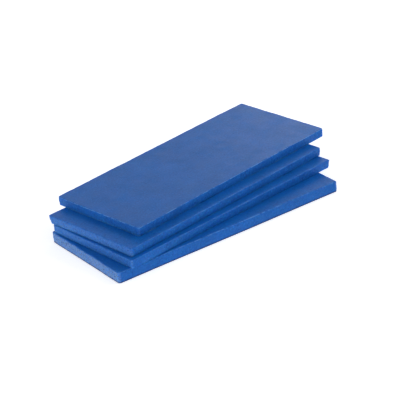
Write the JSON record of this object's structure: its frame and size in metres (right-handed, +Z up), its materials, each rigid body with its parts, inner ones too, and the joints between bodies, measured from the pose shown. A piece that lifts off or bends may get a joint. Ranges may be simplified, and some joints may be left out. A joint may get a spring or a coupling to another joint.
{
  "type": "clay bar",
  "caption": "Loose flat slabs of blue detailing clay stacked in a fan, each lifted off in turn and kneaded to draw grit out of car paint.",
  "frame": {"origin": "centre of the bottom bar's underside, the face that the stack rests on", "axes": "+Z up through the stack, +X along the bottom bar's length, +Y across it, towards the side that the upper bars lean out over"},
  "size_m": [0.1413, 0.0843, 0.0177],
  "materials": {
    "detailing_clay": "satin"
  },
  "bodies": {
    "bottom_bar": {"bottom_bar": "detailing_clay"},
    "lower_middle_bar": {"lower_middle_bar": "detailing_clay"},
    "upper_middle_bar": {"upper_middle_bar": "detailing_clay"},
    "top_bar": {"top_bar": "detailing_clay"}
  },
  "joints": [
    {"name": "lower_middle_lift", "type": "slide", "parent": "bottom_bar", "child": "lower_middle_bar", "axis": [0, 0, 1], "range_m": [0, 0.04]},
    {"name": "upper_middle_lift", "type": "slide", "parent": "lower_middle_bar", "child": "upper_middle_bar", "axis": [0, 0, 1], "range_m": [0, 0.04]},
    {"name": "top_lift", "type": "slide", "parent": "upper_middle_bar", "child": "top_bar", "axis": [0, 0, 1], "range_m": [0, 0.04]}
  ]
}
